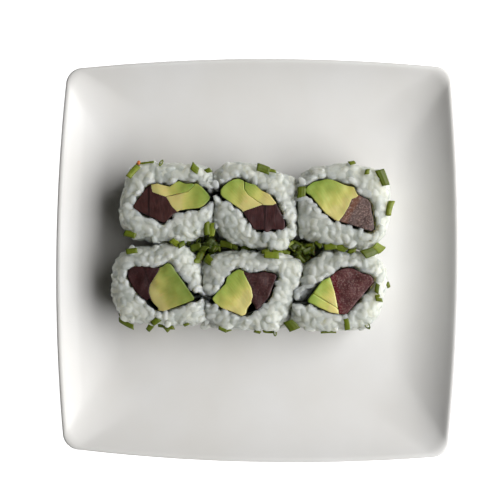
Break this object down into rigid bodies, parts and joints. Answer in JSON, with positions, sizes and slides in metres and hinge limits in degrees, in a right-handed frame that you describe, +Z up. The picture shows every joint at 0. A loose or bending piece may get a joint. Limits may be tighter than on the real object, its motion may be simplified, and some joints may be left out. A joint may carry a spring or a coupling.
{
  "type": "uramaki roll pieces on a square dish",
  "caption": "Cut uramaki of rice, nori, raw tuna and avocado with chopped chives, served on a shallow square porcelain dish.",
  "frame": {"origin": "middle of the dish, on the surface that it stands on", "axes": "+Z up, X to the right and +Y away from the eater"},
  "size_m": [0.204, 0.204, 0.0335],
  "materials": {
    "porcelain": "glossy white glazed porcelain",
    "rice": "moist cooked short-grain rice with chopped chives",
    "nori": "damp dark seaweed sheet",
    "tuna": "wet raw dark red fish",
    "avocado": "freshly cut ripe avocado, green at its skin side and yellow inside"
  },
  "bodies": {
    "root": {"dish": "porcelain", "rice_back_left": "rice", "nori_back_left": "nori", "tuna_back_left": "tuna", "avocado_back_left_upper": "avocado", "avocado_back_left_lower": "avocado", "rice_back_middle": "rice", "nori_back_middle": "nori", "tuna_back_middle": "tuna", "avocado_back_middle_left": "avocado", "avocado_back_middle_right": "avocado", "rice_back_right": "rice", "nori_back_right": "nori", "tuna_back_right": "tuna", "avocado_back_right": "avocado", "rice_front_left": "rice", "nori_front_left": "nori", "tuna_front_left": "tuna", "avocado_front_left": "avocado", "rice_front_middle": "rice", "nori_front_middle": "nori", "tuna_front_middle": "tuna", "avocado_front_middle": "avocado", "rice_front_right": "rice", "nori_front_right": "nori", "tuna_front_right": "tuna", "avocado_front_right_upper": "avocado", "avocado_front_right_lower": "avocado"}
  },
  "joints": []
}
